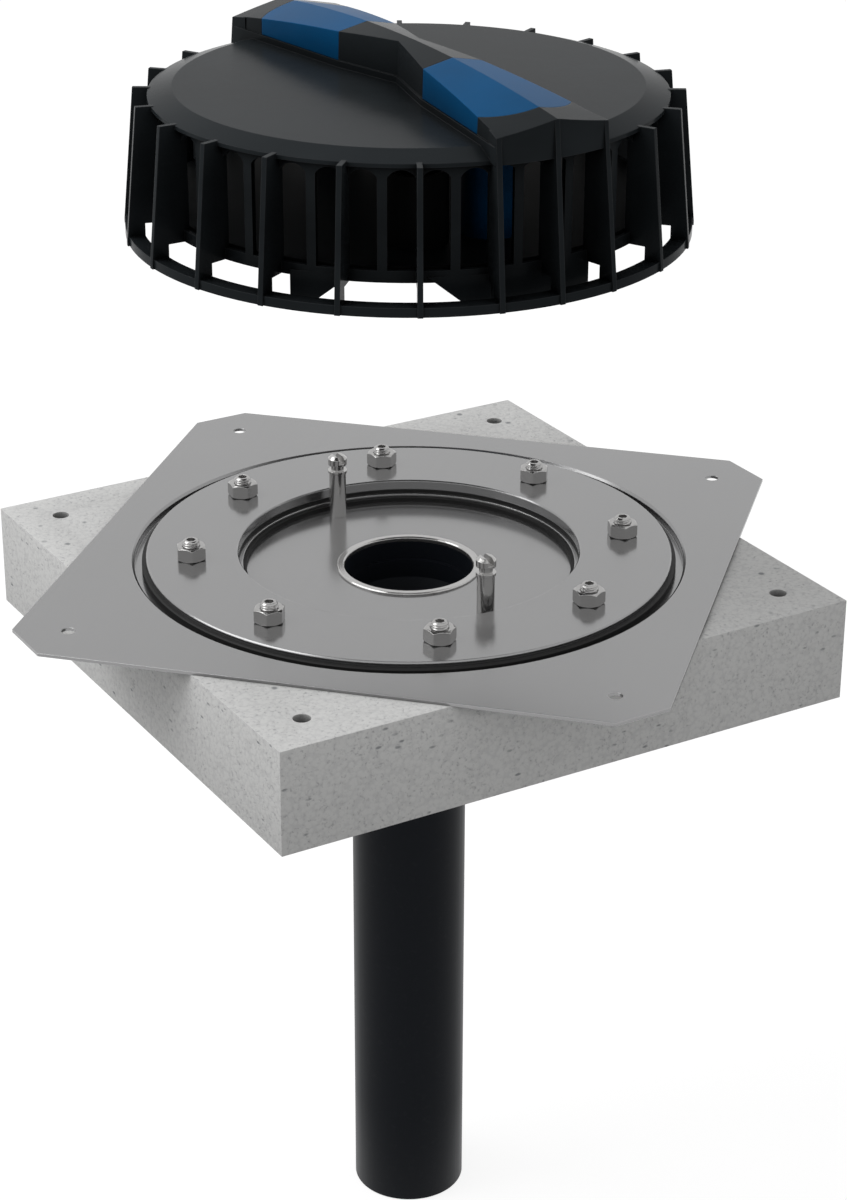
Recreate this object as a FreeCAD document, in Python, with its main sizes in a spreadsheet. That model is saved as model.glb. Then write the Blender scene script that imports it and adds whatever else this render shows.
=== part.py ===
"""Flat roof drain with an outlet pipe, an insulating block, a clamped square sheet and a leaf strainer.

Millimetres. The origin is the centre of the pipe's lower end and +Z is up. The sides of the square
sheet lie along X and Y. The strainer is lifted off, and its handle lies on the diagonal that runs
towards +X and -Y, over the two catch pins.
"""
import FreeCAD, Part
import math
import os
import Sketcher

Vector = FreeCAD.Vector
Rotation = FreeCAD.Rotation
Placement = FreeCAD.Placement
UP = Vector(0, 0, 1)

doc = FreeCAD.newDocument("flat_roof_drain")
sheet = doc.addObject("Spreadsheet::Sheet", "sizes")

DRIVING_SIZES = (
    ("pipe_outer", 56.0, "outlet pipe, outside diameter"),
    ("pipe_wall", 3.0, "outlet pipe, wall"),
    ("pipe_drop", 306.5, "outlet pipe, length below the block"),
    ("pipe_clearance", 1.0, "gap round the pipe in the block"),
    ("block_side", 295.0, "insulating block, side"),
    ("block_height", 50.0, "insulating block, height"),
    ("block_hole", 8.0, "insulating block, diameter of its corner holes"),
    ("block_hole_margin", 22.5, "insulating block, distance of a corner hole from the sides"),
    ("block_turn_angle", 45.0, "turn of the block under the square sheet, degrees"),
    ("block_clearance", 1.0, "gap between the pressed steel and the block's recess"),
    ("plate_side", 300.0, "square sheet, side"),
    ("plate_thickness", 1.5, "square sheet, thickness"),
    ("plate_clip", 20.0, "square sheet, length clipped off each corner"),
    ("plate_hole", 6.5, "square sheet, diameter of its corner holes"),
    ("plate_hole_margin", 25.0, "square sheet, distance of a corner hole from the sides"),
    ("seat_radius", 130.6, "round seat pressed into the sheet, inside radius of its wall"),
    ("seat_drop", 4.5, "round seat, depth below the sheet's top"),
    ("seat_opening", 79.0, "round seat, radius of the opening"),
    ("seat_bend", 1.2, "round seat, radius of the bend at the sheet's top"),
    ("dish_thickness", 1.5, "inlet dish, thickness"),
    ("dish_radius", 118.0, "inlet dish, flange radius"),
    ("dish_hole", 33.0, "inlet dish, radius of the outlet hole"),
    ("gasket_thickness", 2.0, "dish gasket, thickness"),
    ("gasket_inner", 77.4, "dish gasket, inside radius"),
    ("seal_thickness", 4.0, "clamp seal, thickness"),
    ("seal_overhang", 2.0, "clamp seal, width that shows outside the clamp ring"),
    ("ring_gap", 5.7, "clamp ring, gap between it and the seat's wall"),
    ("ring_inner", 81.2, "clamp ring, inside radius"),
    ("ring_thickness", 2.5, "clamp ring, thickness"),
    ("ring_lip_depth", 5.0, "clamp ring, height of the turned-down inner lip"),
    ("ring_lip_wall", 2.0, "clamp ring, thickness of the inner lip"),
    ("ring_edge", 0.6, "clamp ring, rounding of its edges"),
    ("stud_circle", 103.5, "radius of the circle of clamping studs"),
    ("stud_count", 8.0, "number of clamping studs"),
    ("stud_start_angle", 22.5, "angle of the first stud, degrees"),
    ("stud_diameter", 8.0, "clamping stud, diameter"),
    ("stud_clearance", 0.3, "gap round a stud in its hole"),
    ("stud_head_radius", 7.0, "clamping stud, radius of the head under the dish"),
    ("stud_head_height", 2.0, "clamping stud, height of the head"),
    ("stud_end", 2.8, "clamping stud, length above its nut"),
    ("nut_flats", 13.0, "clamping nut, width across flats"),
    ("nut_height", 6.8, "clamping nut, height"),
    ("nut_chamfer", 1.0, "clamping nut, depth of its corner chamfer"),
    ("pin_circle", 70.0, "distance of a catch pin from the middle"),
    ("pin_radius", 4.15, "catch pin, radius of the shank"),
    ("pin_head_radius", 4.65, "catch pin, radius of the head and collar"),
    ("pin_neck_radius", 3.2, "catch pin, radius of the neck"),
    ("pin_rise", 32.0, "catch pin, height over the dish"),
    ("pin_head_height", 4.6, "catch pin, height of the head"),
    ("pin_neck_height", 3.0, "catch pin, height of the neck"),
    ("pin_collar_height", 1.4, "catch pin, height of the collar"),
    ("pin_slot", 3.0, "catch pin, width of the driver slot"),
    ("pin_thread_radius", 3.0, "catch pin, radius of the threaded foot"),
    ("pin_nut_flats", 10.0, "catch pin nut, width across flats"),
    ("pin_nut_height", 5.0, "catch pin nut, height"),
    ("throat_radius", 30.7, "outlet throat, radius"),
    ("throat_wall", 2.0, "outlet fitting, wall of the throat"),
    ("throat_depth", 9.0, "outlet fitting, depth of the throat below the rim"),
    ("throat_step", 28.5, "outlet fitting, radius after the first step"),
    ("rim_outer", 34.6, "outlet rim, outside radius"),
    ("rim_thickness", 1.2, "outlet rim, thickness"),
    ("rim_lip", 1.2, "outlet rim, depth of the turned-down lip"),
    ("outlet_seal_thickness", 1.5, "outlet seal, thickness"),
    ("outlet_flange", 46.0, "outlet fitting, flange radius"),
    ("outlet_flange_height", 5.0, "outlet fitting, flange thickness"),
    ("outlet_neck_radius", 36.0, "outlet fitting, outside radius of the body"),
    ("outlet_height", 25.0, "outlet fitting, height from the pipe to its flange top"),
    ("hover", 162.3, "height of the lifted strainer over the square sheet"),
    ("cage_foot_radius", 128.8, "strainer, outside radius of the rib feet"),
    ("cage_top_radius", 123.0, "strainer, outside radius of the rib tops"),
    ("cage_height", 62.1, "strainer, height of the disc's edge"),
    ("rib_width", 2.4, "strainer, thickness of an outer rib"),
    ("base_ring_inner", 120.6, "strainer, inside radius of the base ring"),
    ("base_ring_outer", 127.9, "strainer, outside radius of the base ring"),
    ("base_ring_height", 4.2, "strainer, height of the base ring"),
    ("wall_radius", 113.0, "strainer, outside radius of the slotted wall"),
    ("wall_thickness", 2.5, "strainer, thickness of the slotted wall"),
    ("wall_foot", 10.0, "strainer, height of the slotted wall's lower edge"),
    ("wall_rim_height", 5.2, "strainer, height of the rim under the slots"),
    ("inner_rib_width", 4.2, "strainer, width of a bar between slots"),
    ("slot_crown", 58.6, "strainer, height of the slots' crowns"),
    ("slot_arch_radius", 7.0, "strainer, radius of the arch over a slot"),
    ("disc_edge_radius", 116.0, "strainer, radius of the disc's edge"),
    ("disc_edge_height", 1.8, "strainer, height of the disc's edge"),
    ("disc_flat_radius", 105.0, "strainer, radius of the disc's flat top"),
    ("disc_rise", 3.4, "strainer, height of the flat top over the edge"),
    ("disc_thickness", 2.5, "strainer, thickness of the disc"),
    ("gable_angle", 12.5, "angle from the handle's line to a gable corner, degrees"),
    ("gable_radius", 121.0, "handle, distance of a gable from the middle"),
    ("crest_height", 85.2, "handle, height of the crest at the middle"),
    ("crest_radius", 1000.0, "handle, radius of the arched crest"),
    ("roof_slope_angle", 11.5, "handle, fall of the roof to each side, degrees"),
    ("ledge_height", 68.5, "handle, height of the ledge under the grips"),
    ("ledge_width", 0.8, "handle, width of the ledge under the grips"),
    ("bar_half_waist", 5.6, "handle, half width of the bar at the waist, on the ledge"),
    ("bar_half_grip", 15.0, "handle, half width of the bar at the grip's inner end, on the ledge"),
    ("bar_half_end", 27.0, "handle, half width of the bar at a gable, on the ledge"),
    ("bar_draft", 0.03, "handle, inward lean of its sides"),
    ("handle_wall", 2.6, "handle, wall of its hollow foot"),
    ("grip_start", 37.5, "grip, distance of its inner end from the middle"),
    ("grip_end_radius", 30.0, "grip, radius of its rounded outer end"),
    ("grip_end_centre", 77.0, "grip, distance of the centre of its rounded end from the middle"),
    ("grip_gap", 0.15, "gap between a grip and the handle"),
    ("grip_edge", 0.8, "grip, rounding of its crest"),
    ("socket_radius", 13.0, "catch socket, outside radius"),
    ("socket_bore", 5.2, "catch socket, bore radius"),
    ("socket_foot", 8.0, "catch socket, height of its lower end"),
    ("socket_depth", 34.0, "catch socket, depth of the bore"),
    ("spring_thickness", 1.3, "catch spring, thickness"),
    ("spring_inner", 4.85, "catch spring, inside radius"),
    ("spring_outer", 6.4, "catch spring, outside radius"),
    ("spring_mouth_angle", 60.0, "catch spring, open angle, degrees"),
    ("baffle_level", 13.7, "air baffle, height of its underside"),
    ("baffle_lip", 4.5, "width of the lip that carries the air baffle"),
    ("baffle_lip_height", 1.5, "height of the lip that carries the air baffle"),
    ("baffle_thickness", 2.5, "air baffle, thickness"),
    ("baffle_gap", 0.6, "gap between the air baffle and the slotted wall"),
    ("baffle_hole", 13.8, "air baffle, radius of the holes round the sockets"),
    ("sleeve_circle", 74.0, "air baffle, distance of a sleeve from the middle"),
    ("sleeve_angle", -27.6, "air baffle, angle of a sleeve from the handle's line, degrees"),
    ("sleeve_radius", 14.0, "air baffle, outside radius of a sleeve"),
    ("sleeve_wall", 2.0, "air baffle, wall of a sleeve"),
    ("sleeve_height", 32.0, "air baffle, height of a sleeve"),
    ("vane_depth", 6.0, "air baffle, depth of the vanes under it"),
    ("vane_width", 2.0, "air baffle, thickness of a vane"),
    ("vane_inner", 24.0, "air baffle, distance of a vane's inner end"),
    ("vane_outer", 91.0, "air baffle, distance of a vane's outer end"),
    ("post_radius", 4.5, "post from the disc to the air baffle, radius"),
    ("screw_radius", 2.0, "baffle screw, radius of the shank"),
    ("screw_head_radius", 3.8, "baffle screw, radius of the head"),
    ("screw_head_height", 2.2, "baffle screw, height of the head"),
    ("screw_length", 14.0, "baffle screw, length of the shank"),
    ("foot_length", 27.0, "strainer, length of a wedge foot"),
    ("foot_slope", 15.0, "strainer, length of a wedge foot's slope"),
    ("foot_depth", 9.4, "strainer, depth of a wedge foot"),
)


class Length:
    """A value together with the sheet expression that gives it."""

    def __init__(self, value, text):
        self.value = value
        self.text = text

    def __add__(self, other):
        other = as_length(other)
        return Length(self.value + other.value, f"({self.text} + {other.text})")

    def __sub__(self, other):
        other = as_length(other)
        return Length(self.value - other.value, f"({self.text} - {other.text})")

    def __mul__(self, factor):
        return Length(self.value * factor, f"({self.text} * {factor})")

    def __truediv__(self, divisor):
        return Length(self.value / divisor, f"({self.text} / {divisor})")

    def __neg__(self):
        return Length(-self.value, f"(-{self.text})")


def as_length(number):
    """Give a plain number as a Length."""
    if isinstance(number, Length):
        return number
    return Length(float(number), repr(float(number)))


for row, (alias, value, note) in enumerate(DRIVING_SIZES, start=1):
    sheet.set(f"A{row}", note)
    sheet.set(f"B{row}", str(value))
    sheet.setAlias(f"B{row}", alias)
doc.recompute()


def size(alias):
    """Read one driving size as a Length."""
    return Length(float(sheet.get(alias)), f"sizes.{alias}")


def number(alias):
    """Read one driving size as a number."""
    return float(sheet.get(alias))


# Levels, from the pipe's lower end upwards
block_base = size("pipe_drop")
block_top = block_base + size("block_height")
plate_top = block_top + size("plate_thickness")
seat_top = plate_top - size("seat_drop")
seat_under = seat_top - size("plate_thickness")
dish_top = seat_under - size("gasket_thickness")
dish_under = dish_top - size("dish_thickness")
ring_under = seat_top + size("seal_thickness")
ring_top = ring_under + size("ring_thickness")
lip_under = ring_top - size("ring_lip_depth")
stud_foot = dish_under - size("stud_head_height")
nut_top = ring_top + size("nut_height")
stud_top = nut_top + size("stud_end")
outlet_flange_top = dish_under - size("outlet_seal_thickness")
outlet_base = outlet_flange_top - size("outlet_height")
rim_under = dish_top
throat_top = rim_under - size("rim_lip")
cage_base = plate_top + size("hover")

# Radii and spacings that more than one piece uses
ring_outer = size("seat_radius") - size("ring_gap")
block_hole_spacing = size("block_side") - size("block_hole_margin") * 2
plate_hole_spacing = size("plate_side") - size("plate_hole_margin") * 2
pipe_radius = size("pipe_outer") / 2
pipe_bore = pipe_radius - size("pipe_wall")
stud_hole = size("stud_diameter") / 2 + size("stud_clearance")
neck_outer = size("throat_radius") + size("throat_wall")
handle_turn = Rotation(UP, -45)


def new_body(label):
    """Start a body with its name."""
    body = doc.addObject("PartDesign::Body", label)
    body.Label = label
    return body


def origin_plane(body, role):
    """Find one of the body's own origin planes or axes."""
    return next(item for item in body.Origin.OriginFeatures if item.Role == role)


def pin_down(sketch, direction, line, target):
    """Set one coordinate of a line's first point to a sheet expression."""
    if target.value < 0:
        rule = Sketcher.Constraint(direction, line, 1, -1, 1, -target.value)
        text = (-target).text
    else:
        rule = Sketcher.Constraint(direction, -1, 1, line, 1, target.value)
        text = target.text
    sketch.setExpression(f"Constraints[{sketch.addConstraint(rule)}]", text)


def draw_outline(sketch, corners):
    """Draw a closed outline through corners given as pairs of Lengths."""
    points = [Vector(across.value, along.value, 0) for across, along in corners]
    count = len(points)
    for index, start in enumerate(points):
        sketch.addGeometry(Part.LineSegment(start, points[(index + 1) % count]), False)
    for index in range(count):
        sketch.addConstraint(Sketcher.Constraint("Coincident", index, 2, (index + 1) % count, 1))
    for index, (across, along) in enumerate(corners):
        pin_down(sketch, "DistanceX", index, as_length(across))
        pin_down(sketch, "DistanceY", index, as_length(along))


def upright_sketch(body, name):
    """Attach a sketch to the body's XZ plane, where x is the radius and y the height."""
    sketch = body.newObject("Sketcher::SketchObject", name)
    sketch.AttachmentSupport = (origin_plane(body, "XZ_Plane"), [""])
    sketch.MapMode = "FlatFace"
    return sketch


def level_sketch(body, name, level, turn=0.0):
    """Attach a sketch to the body's XY plane, raised to a level and turned about the axis."""
    sketch = body.newObject("Sketcher::SketchObject", name)
    sketch.AttachmentSupport = (origin_plane(body, "XY_Plane"), [""])
    sketch.MapMode = "FlatFace"
    sketch.AttachmentOffset = Placement(Vector(0, 0, level.value), Rotation(UP, turn))
    sketch.setExpression("AttachmentOffset.Base.z", level.text)
    return sketch


def revolve(body, name, corners, feature="PartDesign::Revolution"):
    """Turn an outline about the drain's axis, as a solid or as a groove."""
    sketch = upright_sketch(body, f"{name}_profile")
    draw_outline(sketch, corners)
    turned = body.newObject(feature, name)
    turned.Profile = (sketch, [""])
    turned.ReferenceAxis = (sketch, ["V_Axis"])
    turned.Angle = 360
    doc.recompute()
    return turned


def square_corners(side, clip):
    """Corners of a square with its corners clipped, or of a plain square when clip is None."""
    half = side / 2
    if clip is None:
        return [(half, -half), (half, half), (-half, half), (-half, -half)]
    short = half - clip
    return [
        (short, -half), (half, -short), (half, short), (short, half),
        (-short, half), (-half, short), (-half, -short), (-short, -half),
    ]


def pad(body, name, corners, level, height, turn=0.0):
    """Pad an outline upwards from a level."""
    sketch = level_sketch(body, f"{name}_outline", level, turn)
    draw_outline(sketch, corners)
    solid = body.newObject("PartDesign::Pad", name)
    solid.Profile = (sketch, [""])
    solid.setExpression("Length", height.text)
    doc.recompute()
    return solid


def drill_circle(body, name, circle_radius, hole_radius, start, count, level):
    """Drill a ring of equal holes upwards through the body, and check that they cut."""
    before = body.Shape.Volume
    sketch = level_sketch(body, f"{name}_outline", level, start)
    sketch.addGeometry(Part.Circle(Vector(circle_radius.value, 0, 0), UP, hole_radius.value), False)
    sketch.addConstraint(Sketcher.Constraint("PointOnObject", 0, 3, -1))
    place = sketch.addConstraint(Sketcher.Constraint("DistanceX", -1, 1, 0, 3, circle_radius.value))
    sketch.setExpression(f"Constraints[{place}]", circle_radius.text)
    bore = sketch.addConstraint(Sketcher.Constraint("Radius", 0, hole_radius.value))
    sketch.setExpression(f"Constraints[{bore}]", hole_radius.text)
    pocket = body.newObject("PartDesign::Pocket", name)
    pocket.Profile = (sketch, [""])
    pocket.Type = "ThroughAll"
    pocket.Reversed = True
    doc.recompute()
    pattern = body.newObject("PartDesign::PolarPattern", f"{name}_ring")
    pattern.Originals = [pocket]
    pattern.Axis = (origin_plane(body, "Z_Axis"), [""])
    pattern.Angle = 360
    pattern.Occurrences = count
    body.Tip = pattern
    doc.recompute()
    if not body.Shape.Volume < before:
        raise RuntimeError(f"{name} cut nothing out of {body.Label}")
    return pattern


def add_shape(label, shape, place=None):
    """Keep a shape made from Part's functions as a named object."""
    feature = doc.addObject("Part::Feature", label)
    feature.Label = label
    feature.Shape = shape
    if place is not None:
        feature.Placement = place.multiply(shape.Placement)
    return feature


def polar(radius, degrees, height=0.0):
    """A point at a distance and an angle from the axis."""
    angle = math.radians(degrees)
    return Vector(radius * math.cos(angle), radius * math.sin(angle), height)


def cylinder(radius, low, high, centre=None):
    """An upright cylinder between two levels."""
    foot = Vector(0, 0, low) if centre is None else Vector(centre.x, centre.y, low)
    return Part.makeCylinder(radius, high - low, foot)


def tube(outer, inner, low, high, centre=None):
    """An upright tube between two levels."""
    return cylinder(outer, low, high, centre).cut(cylinder(inner, low - 1, high + 1, centre))


def prism(points, direction):
    """Extrude a closed outline."""
    return Part.Face(Part.makePolygon(points + [points[0]])).extrude(direction)


def turned(points):
    """Turn an outline of (radius, height) pairs about the axis."""
    outline = [Vector(radius, 0, height) for radius, height in points]
    return Part.Face(Part.makePolygon(outline + [outline[0]])).revolve(Vector(0, 0, 0), UP, 360)


def spun(shape, degrees):
    """A copy of a shape turned about the axis."""
    copy = shape.copy()
    copy.rotate(Vector(0, 0, 0), UP, degrees)
    return copy


def hex_nut(flats, low, height, chamfer, bore):
    """A hexagon nut with its top corners turned down and a plain bore."""
    corner = flats / math.sqrt(3)
    outline = [polar(corner, 30 + 60 * side, low) for side in range(6)]
    blank = prism(outline, Vector(0, 0, height))
    cone_height = height + corner - flats / 2 + chamfer
    crown = Part.makeCone(flats / 2 + cone_height - chamfer, flats / 2 - chamfer, cone_height,
                          Vector(0, 0, low + height - cone_height))
    return blank.common(crown).cut(cylinder(bore, low - 1, low + height + 1))


# Outlet pipe, open at both ends
pipe = new_body("outlet_pipe")
revolve(pipe, "pipe_tube", [
    (pipe_bore, as_length(0)), (pipe_radius, as_length(0)), (pipe_radius, outlet_base), (pipe_bore, outlet_base),
])

# Insulating block with a stepped recess for the pressed steel and a bore for the pipe
block = new_body("insulation_block")
pad(block, "block_blank", square_corners(size("block_side"), None), block_base, size("block_height"),
    number("block_turn_angle"))
seat_recess = size("seat_radius") + size("plate_thickness") + size("block_clearance")
dish_recess = size("dish_radius") + size("block_clearance") * 2
fitting_recess = size("outlet_flange") + size("block_clearance") * 4
pipe_recess = pipe_radius + size("pipe_clearance")
recess_top = block_top + size("block_clearance")
seat_floor = seat_under - size("block_clearance")
dish_floor = stud_foot - size("block_clearance")
pin_floor = dish_under - size("pin_nut_height") - size("block_clearance") * 3
pin_recess = size("pin_circle") + size("pin_nut_flats")
fitting_floor = outlet_base - size("block_clearance")
revolve(block, "block_recess", [
    (as_length(0), block_base - 1), (pipe_recess, block_base - 1), (pipe_recess, fitting_floor),
    (fitting_recess, fitting_floor), (fitting_recess, pin_floor), (pin_recess, pin_floor),
    (pin_recess, dish_floor), (dish_recess, dish_floor), (dish_recess, seat_floor),
    (seat_recess, seat_floor), (seat_recess, recess_top), (as_length(0), recess_top),
], "PartDesign::Groove")
drill_circle(block, "block_corner_hole", block_hole_spacing / math.sqrt(2),
             size("block_hole") / 2, 0.0, 4, block_base - 1)

# Square sheet, pressed down into a round seat
plate = new_body("base_sheet")
pad(plate, "sheet_blank", square_corners(size("plate_side"), size("plate_clip")), block_top,
    size("plate_thickness"))
seat_wall = size("seat_radius") + size("plate_thickness")
revolve(plate, "sheet_opening", [
    (as_length(0), block_top - 1), (seat_wall, block_top - 1), (seat_wall, plate_top + 1),
    (as_length(0), plate_top + 1),
], "PartDesign::Groove")
revolve(plate, "pressed_seat", [
    (size("seat_opening"), seat_under), (seat_wall, seat_under), (seat_wall, plate_top),
    (size("seat_radius") + size("seat_bend"), plate_top),
    (size("seat_radius"), plate_top - size("seat_bend")), (size("seat_radius"), seat_top),
    (size("seat_opening"), seat_top),
])
drill_circle(plate, "sheet_stud_hole", size("stud_circle"), stud_hole, number("stud_start_angle"),
             int(number("stud_count")), seat_under - 1)
drill_circle(plate, "sheet_corner_hole", plate_hole_spacing / math.sqrt(2),
             size("plate_hole") / 2, 45.0, 4, seat_under - 1)

# Inlet dish with the outlet hole
dish = new_body("inlet_dish")
revolve(dish, "dish_disc", [
    (size("dish_hole"), dish_under), (size("dish_radius"), dish_under), (size("dish_radius"), dish_top),
    (size("dish_hole"), dish_top),
])
drill_circle(dish, "dish_stud_hole", size("stud_circle"), stud_hole, number("stud_start_angle"),
             int(number("stud_count")), dish_under - 1)
drill_circle(dish, "dish_pin_hole", size("pin_circle"),
             size("pin_thread_radius") + size("stud_clearance"), -45.0, 2, dish_under - 1)

# Gasket between the dish and the pressed seat
gasket = new_body("dish_gasket")
revolve(gasket, "gasket_disc", [
    (size("gasket_inner"), dish_top), (size("dish_radius"), dish_top), (size("dish_radius"), seat_under),
    (size("gasket_inner"), seat_under),
])
drill_circle(gasket, "gasket_stud_hole", size("stud_circle"), stud_hole, number("stud_start_angle"),
             int(number("stud_count")), dish_top - 1)

# Soft seal under the clamp ring, which shows in the gap round it
seal = new_body("clamp_seal")
seal_outer = ring_outer + size("seal_overhang")
lip_outer = size("ring_inner") + size("ring_lip_wall")
revolve(seal, "seal_disc", [
    (size("ring_inner"), seat_top), (seal_outer, seat_top), (seal_outer, ring_under - size("ring_edge")),
    (seal_outer - size("ring_edge"), ring_under), (lip_outer, ring_under), (lip_outer, lip_under),
    (size("ring_inner"), lip_under),
])
drill_circle(seal, "seal_stud_hole", size("stud_circle"), stud_hole, number("stud_start_angle"),
             int(number("stud_count")), seat_top - 1)

# Clamp ring with its turned-down inner lip
ring = new_body("clamp_ring")
edge = size("ring_edge")
revolve(ring, "ring_disc", [
    (lip_outer, ring_under), (ring_outer, ring_under), (ring_outer, ring_top - edge),
    (ring_outer - edge, ring_top), (size("ring_inner") + edge, ring_top),
    (size("ring_inner"), ring_top - edge), (size("ring_inner"), lip_under), (lip_outer, lip_under),
])
drill_circle(ring, "ring_stud_hole", size("stud_circle"), stud_hole, number("stud_start_angle"),
             int(number("stud_count")), lip_under - 1)

# Rim that closes the edge of the outlet hole
rim = new_body("outlet_rim")
rim_top = rim_under + size("rim_thickness")
rim_edge = size("rim_thickness") / 2
revolve(rim, "rim_ring", [
    (size("throat_radius"), throat_top), (neck_outer, throat_top), (neck_outer, rim_under),
    (size("rim_outer"), rim_under), (size("rim_outer"), rim_under + rim_edge),
    (size("rim_outer") - rim_edge, rim_top), (size("throat_radius") + rim_edge, rim_top),
    (size("throat_radius"), rim_top - rim_edge),
])

# Outlet fitting between the dish and the pipe, stepped inside
fitting = new_body("outlet_fitting")
flange_under = outlet_flange_top - size("outlet_flange_height")
step_level = throat_top - size("throat_depth")
cone_foot = outlet_base + size("pipe_wall")
revolve(fitting, "fitting_body", [
    (pipe_bore, outlet_base), (pipe_radius, outlet_base), (pipe_radius, cone_foot),
    (size("outlet_neck_radius"), cone_foot + (size("outlet_neck_radius") - pipe_radius)),
    (size("outlet_neck_radius"), flange_under), (size("outlet_flange"), flange_under),
    (size("outlet_flange"), outlet_flange_top), (neck_outer, outlet_flange_top),
    (neck_outer, throat_top), (size("throat_radius"), throat_top), (size("throat_radius"), step_level),
    (size("throat_step"), step_level), (size("throat_step"), cone_foot + size("throat_wall") * 3),
    (pipe_bore, cone_foot),
])

# Seal between the outlet fitting and the dish
outlet_seal = new_body("outlet_seal")
revolve(outlet_seal, "outlet_seal_ring", [
    (neck_outer, outlet_flange_top), (size("outlet_flange"), outlet_flange_top),
    (size("outlet_flange"), dish_under), (neck_outer, dish_under),
])


def stud_angles():
    """Angles of the clamping studs."""
    count = int(number("stud_count"))
    return [number("stud_start_angle") + 360 / count * index for index in range(count)]


def clamp_studs():
    """The ring of clamping studs with flat heads under the dish and turned ends."""
    radius = number("stud_diameter") / 2
    low = stud_foot.value
    high = stud_top.value
    point = radius / 4
    shank = turned([(0, low), (radius, low), (radius, high - point), (radius - point, high), (0, high)])
    stud = shank.fuse(cylinder(number("stud_head_radius"), low, dish_under.value)).removeSplitter()
    stud.translate(Vector(number("stud_circle"), 0, 0))
    return Part.makeCompound([spun(stud, angle) for angle in stud_angles()])


def clamp_nuts():
    """The ring of hexagon nuts on the clamp ring."""
    bore = number("stud_diameter") / 2
    nut = hex_nut(number("nut_flats"), ring_top.value, number("nut_height"), number("nut_chamfer"), bore)
    nut.translate(Vector(number("stud_circle"), 0, 0))
    return Part.makeCompound([spun(nut, angle) for angle in stud_angles()])


def catch_pin():
    """A catch pin with a slotted head over a neck and a collar, and a threaded foot."""
    low = dish_top.value
    high = low + number("pin_rise")
    head = number("pin_head_radius")
    neck = number("pin_neck_radius")
    shank = number("pin_radius")
    foot = number("pin_thread_radius")
    head_low = high - number("pin_head_height")
    collar_high = head_low - number("pin_neck_height")
    collar_low = collar_high - number("pin_collar_height")
    foot_low = dish_under.value - number("pin_nut_height") - number("block_clearance")
    crown = head - neck
    pin = turned([
        (0, foot_low), (foot, foot_low), (foot, low), (shank, low), (shank, collar_low),
        (head, collar_low), (head, collar_high), (neck, collar_high), (neck, head_low),
        (head, head_low), (head, high - crown), (neck, high), (0, high),
    ])
    slot_depth = number("pin_head_height") * 0.75
    slot = Part.makeBox(head * 3, number("pin_slot"), slot_depth + 1,
                        Vector(-head * 1.5, -number("pin_slot") / 2, high - slot_depth))
    return pin.cut(slot)


def catch_pin_nuts():
    """The nuts that hold the two catch pins under the dish."""
    height = number("pin_nut_height")
    nut = hex_nut(number("pin_nut_flats"), dish_under.value - height, height,
                  number("nut_chamfer"), number("pin_thread_radius"))
    places = (polar(number("pin_circle"), 0), polar(number("pin_circle"), 180))
    return Part.makeCompound([nut.translated(place) for place in places])


def rib_angles():
    """Angles of the outer ribs from the handle's line, starting on a gable."""
    gable = number("gable_angle")
    bays_per_side = 10
    pitch = (180 - 2 * gable) / bays_per_side
    side = [gable + pitch * index for index in range(bays_per_side + 1)]
    return [0.0] + side + [180.0] + [180 + angle for angle in side]


def crest_level(distance):
    """Height of the arched crest at a distance from the middle of the handle."""
    radius = number("crest_radius")
    return number("crest_height") - radius + math.sqrt(radius ** 2 - distance ** 2)


def roof_body():
    """Everything under the arched and sloping roof of the handle."""
    radius = number("crest_radius")
    crest = number("crest_height")
    low = -crest / 2
    reach = number("bar_half_end") * 1.8
    fall = reach * math.tan(math.radians(number("roof_slope_angle")))
    section = [
        Vector(0, -reach, low), Vector(0, -reach, crest - fall),
        Vector(0, 0, crest), Vector(0, reach, crest - fall), Vector(0, reach, low),
    ]
    half_sweep = 10
    face = Part.Face(Part.makePolygon(section + [section[0]]))
    pivot = Vector(0, 0, crest - radius)
    face.rotate(pivot, Vector(0, 1, 0), -half_sweep)
    return face.revolve(pivot, Vector(0, 1, 0), 2 * half_sweep)


def bow_outline(level, outset, reach):
    """The handle's bow-tie outline at a level, moved outwards by an outset."""
    lean = number("bar_draft") * (level - number("ledge_height"))
    start = number("grip_start")
    waist = number("bar_half_waist") - lean + outset
    grip_half = number("bar_half_grip") - lean + outset
    end = number("bar_half_end") - lean + outset
    half = [(-reach, end), (-start, grip_half), (0, waist), (start, grip_half), (reach, end)]
    near = [Vector(along, -across, level) for along, across in half]
    far = [Vector(along, across, level) for along, across in reversed(half)]
    return near + far


def bow_loft(low, high, outset, reach):
    """A body with the handle's outline between two levels."""
    outlines = [bow_outline(level, outset, reach) for level in (low, high)]
    wires = [Part.makePolygon(points + [points[0]]) for points in outlines]
    return Part.makeLoft(wires, True, True)


def handle_bar():
    """The upper bar of the handle, narrow at the waist, under the arched roof."""
    reach = number("gable_radius") + 2
    return bow_loft(number("ledge_height"), number("crest_height") + 1, 0.0, reach).common(roof_body())


def grip_region(gap):
    """The two stretches of the bar that the coloured grips take up, grown by a gap."""
    radius = number("grip_end_radius") + gap
    centre = number("grip_end_centre")
    start = number("grip_start") - gap
    low = number("ledge_height")
    high = number("crest_height") + 2
    stretches = []
    for side in (0, 180):
        straight = Part.makeBox(centre - start, 2 * radius, high - low, Vector(start, -radius, low))
        rounded = cylinder(radius, low, high, Vector(centre, 0, 0))
        stretches.append(spun(straight.fuse(rounded), side))
    return Part.makeCompound(stretches)


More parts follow.
